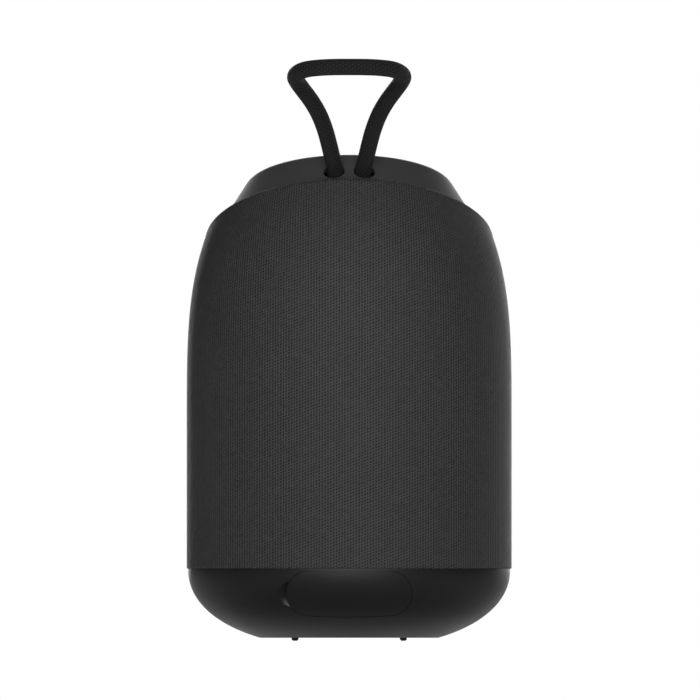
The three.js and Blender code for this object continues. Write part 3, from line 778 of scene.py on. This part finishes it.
def scoopBall():  # the ball that presses the finger scoop into the bowl
    reach = baseReach(scoop["z"])
    y = reach * np.sqrt(1 - (scoop["x"] / (reach * body["ratio"])) ** 2)
    lean = radians(scoop["lean"])
    outward = np.array([scoop["aside"], cos(lean), -sin(lean)])
    outward /= np.linalg.norm(outward)
    centre = np.array([scoop["x"], y, scoop["z"]]) + outward * (scoop["radius"] - scoop["depth"])
    tilt = np.linspace(-pi / 2, pi / 2, 40)
    turn = np.linspace(0, 2 * pi, 72, endpoint=False)
    ring = np.cos(tilt)
    rows = [np.outer(ring, np.cos(turn)), np.outer(ring, np.sin(turn)), np.outer(np.sin(tilt), np.ones(72))]
    return closedSurface("dish", np.stack(rows, 2) * scoop["radius"] + centre)


def makeBase():
    # The rows run from the middle of the underside out over the floor, up the bowl's side,
    # over a small round lip, down the inside and in to the middle of the inner floor.
    angle = np.linspace(0, 2 * pi, base["around"], endpoint=False)
    rows = []

    def row(half, z):
        rows.append(onFloor(half * body["ratio"] * np.cos(angle), half * np.sin(angle), z))

    top, floor, lip = base["top"], base["floor"], base["lip"]
    for share in np.linspace(0, 1, base["floorRows"])[:-1]:
        row(baseReach(floor) * share, floor)
    for z in floor + (top - lip - floor) * np.linspace(0, 1, base["wallRows"]) ** base["climb"]:
        row(baseReach(z), z)
    for turn in np.linspace(0, pi / 2, base["lipRows"])[1:]:
        row(baseReach(top) - lip * (1 - cos(turn)), top - lip + lip * sin(turn))
    row(baseReach(top) - base["wall"], top)
    # Inside, the half depth follows a superellipse of its own down to the inner floor.
    wide, low = (base["halfDepth"] - base["wall"]) * base["insideShrink"], floor + base["wall"]
    inside = lambda drop: wide * (1 - base["insideDrop"] * drop ** base["insidePower"]) ** (1 / base["power"])
    for z in np.linspace(top, low, base["insideRows"])[1:]:
        row(inside((top - z) / (top - low)), z)
    for share in np.linspace(1, 0, base["insideFloorRows"])[1:]:
        row(inside(1) * share, low)
    piece = closedSurface("moulded_base", np.array(rows))

    sunk = portPlace(port["collarSunk"])
    collar = pad("collar", portOutline(port["collar"]), sunk, 0.1, port["collarDepth"], faceRows=16)
    joinOrCut(piece, "UNION", collar)
    outside = lambda a, b, height: portFlat(a, b, height + port["outside"])
    cutters = [pad("pocket", portOutline(port["grow"]), outside, cutEdge, port["pocket"]), scoopBall()]
    for corner in cornerNames:
        x, y = middleOf("base_screw_" + corner)[:2]
        cutters.append(lathe("hole", base["screwHole"], x, y, 40, onFloor))
        x, y = middleOf("foot_" + corner)[:2]
        seat = lambda a, b, height, x=x, y=y: onFloor(x + b, y + a, base["footSeatTop"] + height)
        outline = pillOutline(*base["footSeat"], count=40)
        cutters.append(pad("seat", outline, seat, cutEdge, base["footSeatDepth"]))
    joinOrCut(piece, "DIFFERENCE", *cutters)
    sharpen(piece)
    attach(piece, "speaker_body")
    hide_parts("base")
    print("base:", len(piece.data.polygons), "faces")
    return piece


def makePortCover():
    cover = pad(
        "port_door", portOutline(port["coverGrow"]), portPlace(port["flush"]),
        port["coverEdge"], port["coverWall"], faceRows=26,
    )
    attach(cover, "port_cover_flap")
    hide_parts("port_cover")
    print("port door made")
    return cover


feet = dict(halfWidth=1.75, halfLength=5.05, edge=1.1)


def makeFeet():
    made = []
    for corner in cornerNames:
        node = "foot_" + corner
        low, high = boxOf(node)
        x, y = (low + high)[:2] / 2
        place = lambda a, b, height: onFloor(x + b, y + a, low[2] - height)
        outline = pillOutline(feet["halfLength"], feet["halfWidth"], count=48)
        foot = pad("rubber_" + node, outline, place, feet["edge"], high[2] - low[2], faceRows=5)
        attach(foot, "speaker_body")
        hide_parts(node)
        made.append(foot)
    print("feet made")
    return made


screws = dict(
    head=[
        (0, 15.0), (1.5, 15.0), (1.5, 2.9), (2.9, 2.9), (2.9, 2.3),
        (2.7, 1.85), (2.2, 1.6), (1.2, 1.5), (0, 1.5),
    ],
    headFace=1.5, crossLength=1.7, crossWidth=0.42, crossCorner=0.12, crossDepth=0.9, crossReach=3.0,
)


def makeScrews():
    made = []
    outline = plusOutline(screws["crossLength"], screws["crossWidth"], screws["crossCorner"], 3)
    bottom = screws["headFace"] + screws["crossDepth"]
    for corner in cornerNames:
        node = "base_screw_" + corner
        x, y = middleOf(node)[:2]
        screw = lathe("pan_" + node, screws["head"], x, y, 40, onFloor)
        place = lambda a, b, height: onFloor(x + a, y + b, height + bottom)
        cross = pad("cross", outline, place, 0.1, screws["crossReach"], faceRows=3)
        joinOrCut(screw, "DIFFERENCE", cross)
        sharpen(screw, 30)
        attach(screw, "speaker_body")
        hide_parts(node)
        made.append(screw)
    print("screws made")
    return made


class NodeDraft:  # a short way to write a material's nodes
    def __init__(self, name):
        self.material = bpy.data.materials.new(name)
        self.material.use_nodes = True
        self.tree = self.material.node_tree
        self.shader = self.tree.nodes["Principled BSDF"]

    def node(self, kind, inputs=(), **settings):
        made = self.tree.nodes.new(kind)
        for key, value in settings.items():
            setattr(made, key, value)
        for key, value in dict(inputs).items():
            self.put(made.inputs[key], value)
        return made

    def put(self, socket, value):
        if isinstance(value, bpy.types.NodeSocket):
            self.tree.links.new(value, socket)
        else:
            socket.default_value = value

    def math(self, operation, a, b=0.0, c=0.0):
        return self.node("ShaderNodeMath", {0: a, 1: b, 2: c}, operation=operation).outputs[0]

    def noise(self, scale, detail=2.0, roughness=0.5, vector=None):
        vector = self.place() if vector is None else vector
        inputs = {"Vector": vector, "Scale": scale, "Detail": detail, "Roughness": roughness}
        return self.node("ShaderNodeTexNoise", inputs).outputs[0]

    def place(self):
        return self.node("ShaderNodeTexCoord").outputs["Object"]

    def lay(self):  # the piece's own UV map, as two numbers
        vector = self.node("ShaderNodeUVMap", uv_map="lay").outputs[0]
        parts = self.node("ShaderNodeSeparateXYZ", {0: vector})
        return parts.outputs[0], parts.outputs[1]

    def between(self, value, fromLow, fromHigh, toLow, toHigh, smooth=False):
        made = self.node("ShaderNodeMapRange", {0: value, 1: fromLow, 2: fromHigh, 3: toLow, 4: toHigh})
        made.interpolation_type = "SMOOTHSTEP" if smooth else "LINEAR"
        return made.outputs[0]

    def mix(self, share, a, b):
        made = self.node("ShaderNodeMix", data_type="RGBA")
        self.put(made.inputs[0], share)
        self.put(made.inputs[6], a)
        self.put(made.inputs[7], b)
        return made.outputs[2]

    def bump(self, height, distance, strength=1.0):
        made = self.node("ShaderNodeBump", {"Height": height, "Distance": distance, "Strength": strength})
        self.tree.links.new(made.outputs[0], self.shader.inputs["Normal"])

    def set(self, **values):
        for key, value in values.items():
            self.put(self.shader.inputs[key], value)


def grey(level):
    return (level, level, level, 1.0)


# The pits' colour is painted shade, and the ribs are painted lighter where they stand high and darker where
# they are low.
knit = dict(
    yarn=0.033, pit=0.005, pitWidth=0.70, pitHeight=0.66, shift=1 / 3, ribPaintedShade=0.2, ribDepth=0.35,
    depth=0.00028, roughness=0.62, specular=0.3, fleck=0.14, fibre=3200.0, cloud=28.0,
)


def knittedYarn():
    # Small pits in upright ribs. In each column of stitches the pits lie a third of a row
    # over those of the column before. The pit's depth falls off with the distance to the
    # middle of its stitch, and a rib is a cosine across the column. The pits are painted
    # darker as painted shade, and each rib is painted lighter where its relief stands high
    # and darker where it is low, a painted shade that follows the relief.
    draft = NodeDraft("knitted_yarn")
    u, v = draft.lay()
    column = draft.math("FLOOR", u)
    shifted = draft.math("MULTIPLY_ADD", column, -knit["shift"], v)
    across = draft.math("SUBTRACT", draft.math("FRACT", u), 0.5)
    along = draft.math("SUBTRACT", draft.math("FRACT", shifted), 0.5)
    wide = draft.math("POWER", draft.math("DIVIDE", across, knit["pitWidth"] / 2), 2.0)
    tall = draft.math("POWER", draft.math("DIVIDE", along, knit["pitHeight"] / 2), 2.0)
    far = draft.math("SQRT", draft.math("ADD", wide, tall))
    pit = draft.between(far, 0.35, 1.15, 1.0, 0.0, smooth=True)
    rib = draft.math("COSINE", draft.math("MULTIPLY", across, 2 * pi))
    stitch = draft.node("ShaderNodeCombineXYZ", {0: column, 1: draft.math("FLOOR", shifted)}).outputs[0]
    fleck = draft.node("ShaderNodeTexWhiteNoise", {"Vector": stitch}, noise_dimensions="2D").outputs[0]
    fibre = draft.noise(knit["fibre"], 3.0, 0.6)
    cloud = draft.between(draft.noise(knit["cloud"], 3.0, 0.55), 0.3, 0.7, -0.04, 0.04)
    light = draft.math("ADD", draft.between(fleck, 0, 1, 1 - knit["fleck"], 1 + knit["fleck"]), cloud)
    light = draft.math("MULTIPLY", light, draft.between(fibre, 0.3, 0.7, 0.9, 1.1))
    # Painted shade: each rib is lighter where its relief stands high and darker where it is low.
    ribShade = draft.between(rib, -1, 1, 1 + knit["ribPaintedShade"], 1 - knit["ribPaintedShade"])
    light = draft.math("MULTIPLY", light, ribShade)
    # The pits are painted darker: painted shade in the recesses.
    colour = draft.mix(pit, grey(knit["yarn"]), grey(knit["pit"]))
    scaled = draft.node("ShaderNodeVectorMath", {0: colour}, operation="SCALE")
    draft.put(scaled.inputs["Scale"], light)
    height = draft.math("MULTIPLY_ADD", rib, -knit["ribDepth"] / 2, draft.math("SUBTRACT", 1.0, pit))
    draft.bump(draft.math("MULTIPLY_ADD", fibre, 0.25, height), knit["depth"], 0.8)
    rough = draft.between(fibre, 0.3, 0.7, knit["roughness"] - 0.05, knit["roughness"] + 0.05)
    draft.set(**{"Base Color": scaled.outputs[0], "Roughness": rough, "Specular IOR Level": knit["specular"]})
    return draft.material


# The groove colour is painted shade between the strands.
braid = dict(
    yarn=0.0125, groove=0.002, roughness=0.7, specular=0.25, depth=0.00018, threads=4, twists=3, fibre=2600.0,
    familySheen=0.5,    # painted sheen: how much lighter the strands of one direction are painted
    carrier=0.35,  # how much lighter every second strand is
)


def braidedYarn():
    # The same two families of strands as the cord's own relief, worked out from its UV map.
    # The groove between strands is painted darker as painted shade, and fine lines run along
    # each strand, painted lighter on their raised crests as painted shade of their relief. The
    # strands of one family are painted lighter as a painted sheen, and every second strand is
    # a lighter tone.
    draft = NodeDraft("braided_yarn")
    u, v = draft.lay()
    p, q = draft.math("ADD", u, v), draft.math("SUBTRACT", u, v)
    both = draft.math("ADD", draft.math("FLOOR", p), draft.math("FLOOR", q))
    onTop = draft.math("LESS_THAN", draft.math("FLOORED_MODULO", both, 2.0), 0.5)
    choose = lambda a, b: draft.node("ShaderNodeMix", {0: onTop, 2: b, 3: a}, data_type="FLOAT").outputs[0]
    across = choose(draft.math("FRACT", p), draft.math("FRACT", q))
    ahead = choose(q, p)
    middle = draft.math("ABSOLUTE", draft.math("SUBTRACT", across, 0.5))
    groove = draft.between(middle, 0.3, 0.5, 0.0, 1.0, smooth=True)
    thread = draft.math("SINE", draft.math("MULTIPLY", across, 2 * pi * braid["threads"]))
    twist = draft.math("SINE", draft.math("MULTIPLY", ahead, 2 * pi * braid["twists"]))
    fibre = draft.noise(braid["fibre"], 3.0, 0.6)
    # Painted shade: the fine lines are lighter on their raised crests, where the bump raises them.
    light = draft.math("MULTIPLY_ADD", thread, 0.10, draft.math("MULTIPLY_ADD", twist, 0.06, 1.0))
    light = draft.math("MULTIPLY", light, draft.between(fibre, 0.3, 0.7, 0.85, 1.15))
    every = draft.math("FLOORED_MODULO", draft.math("FLOOR", q), 2.0)
    # The strands of one family are painted lighter as a painted sheen; every second strand is a lighter tone.
    for choice, change in ((onTop, braid["familySheen"]), (every, braid["carrier"])):
        light = draft.math("MULTIPLY", light, draft.between(choice, 0, 1, 1 - change, 1 + change))
    # The grooves are painted darker: painted shade between the strands.
    colour = draft.mix(groove, grey(braid["yarn"]), grey(braid["groove"]))
    scaled = draft.node("ShaderNodeVectorMath", {0: colour}, operation="SCALE")
    draft.put(scaled.inputs["Scale"], light)
    height = draft.math("ADD", draft.math("MULTIPLY", thread, 0.3), draft.math("SUBTRACT", 1.0, groove))
    draft.bump(draft.math("ADD", height, draft.math("MULTIPLY", fibre, 0.3)), braid["depth"], 0.8)
    draft.set(**{
        "Base Color": scaled.outputs[0], "Roughness": braid["roughness"],
        "Specular IOR Level": braid["specular"],
    })
    return draft.material


plastic = dict(patch=45.0, cloudy=0.08, depth=0.00002, smoother=0.02, rougher=0.03)


def mouldedPlastic(name, level, roughness, grain=1400.0, specular=0.3):
    # A fine spark-eroded grain from two sizes of noise, with soft patches where the moulding
    # is a little smoother and lighter.
    draft = NodeDraft(name)
    fine, patch = draft.noise(grain, 3.0, 0.6), draft.noise(plastic["patch"], 3.0, 0.55)
    share = draft.between(patch, 0.3, 0.7, 0.0, 1.0, smooth=True)
    low, high = grey(level * (1 - plastic["cloudy"])), grey(level * (1 + plastic["cloudy"]))
    speckle = draft.between(fine, 0.25, 0.75, -0.5, 0.5)
    rough = draft.between(share, 0, 1, roughness - plastic["smoother"], roughness + plastic["rougher"])
    draft.set(**{
        "Base Color": draft.mix(draft.math("MULTIPLY_ADD", speckle, 0.3, share), low, high),
        "Roughness": draft.math("MULTIPLY_ADD", speckle, 0.06, rough), "Specular IOR Level": specular,
    })
    draft.bump(fine, plastic["depth"])
    return draft.material


def bareMetal(name, level, roughness):
    # Fine drawn lines: noise stretched along one axis.
    draft = NodeDraft(name)
    mapping = draft.node("ShaderNodeMapping", {"Vector": draft.place(), "Scale": (1, 1, 14)})
    lines = draft.noise(900.0, 4.0, 0.6, mapping.outputs[0])
    stain = draft.noise(60.0, 3.0, 0.55)
    draft.set(**{
        "Base Color": draft.mix(draft.between(stain, 0.3, 0.7, 0, 1), grey(level * 0.85), grey(level)),
        "Roughness": draft.between(lines, 0.3, 0.7, roughness - 0.08, roughness + 0.08), "Metallic": 1.0,
    })
    draft.bump(lines, 0.00001)
    return draft.material


def boardLacquer():
    # Solder resist with faint tracks: the edges of square cells.
    draft = NodeDraft("board_lacquer")
    inputs = {"Vector": draft.place(), "Scale": 420.0, "Randomness": 0.6}
    cells = draft.node("ShaderNodeTexVoronoi", inputs, distance="CHEBYCHEV", feature="F1")
    track = draft.between(cells.outputs["Distance"], 0.36, 0.42, 0.0, 1.0, smooth=True)
    ground, copper = (0.012, 0.07, 0.03, 1), (0.03, 0.14, 0.06, 1)
    draft.set(**{"Base Color": draft.mix(track, ground, copper), "Roughness": 0.38})
    draft.bump(track, 0.00003)
    return draft.material


def shrinkWrap(name, colour, roughness):
    # Heat-shrunk film: long soft creases around the cell, painted darker in their low parts as painted shade.
    draft = NodeDraft(name)
    mapping = draft.node("ShaderNodeMapping", {"Vector": draft.place(), "Scale": (1, 1, 6)})
    crease = draft.noise(130.0, 3.0, 0.5, mapping.outputs[0])
    darker = tuple(c * 0.8 for c in colour[:3]) + (1,)
    # Painted shade: the film is darker where the crease relief is low.
    shade = draft.mix(draft.between(crease, 0.35, 0.65, 0, 1), darker, colour)
    draft.set(**{"Base Color": shade, "Roughness": roughness, "Coat Weight": 0.3, "Coat Roughness": 0.2})
    draft.bump(crease, 0.0001)
    return draft.material


def pressedPaper():
    # Short felted fibres: one fine noise with many layers.
    draft = NodeDraft("pressed_paper")
    fibre = draft.noise(700.0, 5.0, 0.7)
    shade = draft.mix(draft.between(fibre, 0.35, 0.65, 0, 1), grey(0.012), grey(0.03))
    draft.set(**{"Base Color": shade, "Roughness": 0.85})
    draft.bump(fibre, 0.00008)
    return draft.material


def clearLens():
    draft = NodeDraft("clear_lens")
    haze = draft.noise(900.0, 2.0)
    draft.set(**{
        "Base Color": draft.mix(draft.between(haze, 0.4, 0.6, 0, 1), grey(0.62), grey(0.74)),
        "Roughness": draft.between(haze, 0.3, 0.7, 0.16, 0.26), "Coat Weight": 0.5, "Coat Roughness": 0.1,
    })
    return draft.material


def paint(things, material):
    for thing in things:
        thing.data.materials.clear()
        thing.data.materials.append(material)


def paintNodes(names, material):
    for name in names:
        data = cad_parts[name].data
        if data.materials:
            data.materials[0] = material
        else:
            data.materials.append(material)


studio = dict(
    floorSize=7.0, floorTone=0.84, floorMottle=0.03, floorRoughness=0.9, backdrop=1.0,
    wideGlow=0.09, underGlow=0.42, glowReach=(0.034, 0.062),  # a light table, brighter under the body
    nearPale=0.22, farPale=1.0, paleReach=(0.1, 0.8),  # its glow as it is seen, up to the backdrop's
    lights=[
        # name, place, aimed at, width, height, watts
        ("rear_box", (0.0, 1.6, 0.35), (0, 0, 0.13), 0.9, 1.4, 27.0),
        ("front_box", (0.0, -1.7, 0.5), (0, 0, 0.12), 1.6, 1.4, 37.5),
        ("corner_box", (-1.2, -1.3, 0.35), (0, 0, 0.12), 0.9, 1.2, 7.0),
        ("top_box", (0.0, 0.0, 1.6), (0, 0, 0.1), 1.4, 1.4, 4.0),
    ],
)


def makeStudio():
    half = studio["floorSize"] / 2
    mesh = bpy.data.meshes.new("floor")
    edge = [(-half, -half, 0), (half, -half, 0), (half, half, 0), (-half, half, 0)]
    mesh.from_pydata(edge, [], [(0, 1, 2, 3)])
    floor = bpy.data.objects.new("floor", mesh)
    bpy.context.scene.collection.objects.link(floor)
    draft = NodeDraft("pale_floor")
    soft = draft.between(draft.noise(6.0, 2.0), 0.3, 0.7, 0, 1)
    tones = grey(studio["floorTone"]), grey(studio["floorTone"] + studio["floorMottle"])
    # far is the distance from the middle, in ovals of the body's own section.
    parts = draft.node("ShaderNodeSeparateXYZ", {0: draft.place()})
    across = draft.math("DIVIDE", parts.outputs[0], body["ratio"])
    squares = draft.math("POWER", across, 2.0), draft.math("POWER", parts.outputs[1], 2.0)
    far = draft.math("SQRT", draft.math("ADD", *squares))
    full = studio["wideGlow"] + studio["underGlow"]
    glow = draft.between(far, *studio["glowReach"], full, studio["wideGlow"], smooth=True)
    pale = draft.between(far, *studio["paleReach"], studio["nearPale"], studio["farPale"], smooth=True)
    seen = draft.node("ShaderNodeLightPath").outputs["Is Camera Ray"]
    lighting = draft.math("MULTIPLY", glow, draft.math("SUBTRACT", 1.0, seen))
    strength = draft.math("MULTIPLY_ADD", pale, seen, lighting)
    draft.set(**{
        "Base Color": draft.mix(soft, *tones), "Roughness": studio["floorRoughness"],
        "Emission Color": (1, 1, 1, 1), "Emission Strength": strength,
    })
    paint([floor], draft.material)
    floor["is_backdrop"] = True

    world = bpy.data.worlds.new("studio")  # a white backdrop that casts no light of its own
    bpy.context.scene.world = world
    world.use_nodes = True
    tree = world.node_tree
    tree.nodes.clear()
    out = tree.nodes.new("ShaderNodeOutputWorld")
    path = tree.nodes.new("ShaderNodeLightPath")
    strength = tree.nodes.new("ShaderNodeMath")
    strength.operation = "MULTIPLY"
    strength.inputs[1].default_value = studio["backdrop"]
    shown = tree.nodes.new("ShaderNodeBackground")
    shown.inputs[0].default_value = (1, 1, 1, 1)
    tree.links.new(path.outputs["Is Camera Ray"], strength.inputs[0])
    tree.links.new(strength.outputs[0], shown.inputs[1])
    tree.links.new(shown.outputs[0], out.inputs[0])

    for name, place, target, width, height, watts in studio["lights"]:
        data = bpy.data.lights.new(name, "AREA")
        data.shape = "RECTANGLE"
        data.size, data.size_y = width, height
        data.energy = watts
        lamp = bpy.data.objects.new(name, data)
        lamp.location = place
        lamp.rotation_euler = (Vector(target) - Vector(place)).to_track_quat("-Z", "Y").to_euler()
        lamp.visible_camera = False
        bpy.context.scene.collection.objects.link(lamp)
    bpy.context.scene.view_settings.view_transform = "Standard"


cord = makeStrap()
knitSleeve = makeSleeve()
volumeParts = makeVolumeKeys()
capPiece, ledge = makeCap()
keyParts, lightPipe = makeKeys()
basePiece = makeBase()
portDoor = makePortCover()
feetParts = makeFeet()
screwParts = makeScrews()

paint([cord], braidedYarn())
paint([knitSleeve], knittedYarn())
paint(volumeParts, mouldedPlastic("symbol_rubber", 0.045, 0.55, 900.0))
paint([capPiece, ledge], mouldedPlastic("cap_plastic", 0.043, 0.55, specular=0.2))
paint([k for k in keyParts if "_mark" not in k.name], mouldedPlastic("key_rubber", 0.014, 0.6))
paint([k for k in keyParts if "_mark" in k.name], mouldedPlastic("mark_rubber", 0.32, 0.55))
paint([lightPipe], clearLens())
paint([basePiece, portDoor], mouldedPlastic("base_plastic", 0.005, 0.42, 1700.0, specular=0.26))
paint(feetParts, mouldedPlastic("foot_rubber", 0.008, 0.75, 900.0))
paint(screwParts, bareMetal("plated_steel", 0.55, 0.35))

nodeFinishes = [
    (mouldedPlastic("inner_plastic", 0.016, 0.55, 800.0), [
        "front_shell", "rear_shell", "strap_clamp", "port_plate", "chassis_plate", "woofer_baffle",
        "full_range_frame_left", "full_range_frame_right", "battery_tray",
    ]),
    (mouldedPlastic("seal_rubber", 0.010, 0.8, 700.0), ["cap_gasket", "base_gasket", "port_cover_seal"]),
    (bareMetal("stamped_steel", 0.6, 0.3), [
        "usb_socket", "power_switch", "play_switch", "pairing_switch", "boost_switch",
        "volume_up_switch", "volume_down_switch",
    ]),
    (bareMetal("driver_steel", 0.12, 0.45), [
        "woofer_basket", "woofer_magnet", "full_range_magnet_left", "full_range_magnet_right",
    ]),
    (bareMetal("sawn_alloy", 0.5, 0.4), ["heat_sink"]),
    (pressedPaper(), ["woofer_cone", "full_range_cone_left", "full_range_cone_right"]),
    (boardLacquer(), ["control_board", "main_board", "volume_board", "charging_board"]),
    (shrinkWrap("cell_wrap", (0.03, 0.12, 0.30, 1), 0.35), [f"battery_cell_{i}" for i in (1, 2, 3, 4)]),
    (shrinkWrap("lead_sleeve", (0.25, 0.012, 0.012, 1), 0.45), ["woofer_lead", "battery_lead"]),
]
for material, names in nodeFinishes:
    paintNodes(names, material)
print("finishes set")

makeStudio()
print("studio lit")

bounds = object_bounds()
[[list(corner) for corner in box] for box in (cadBounds, bounds)]
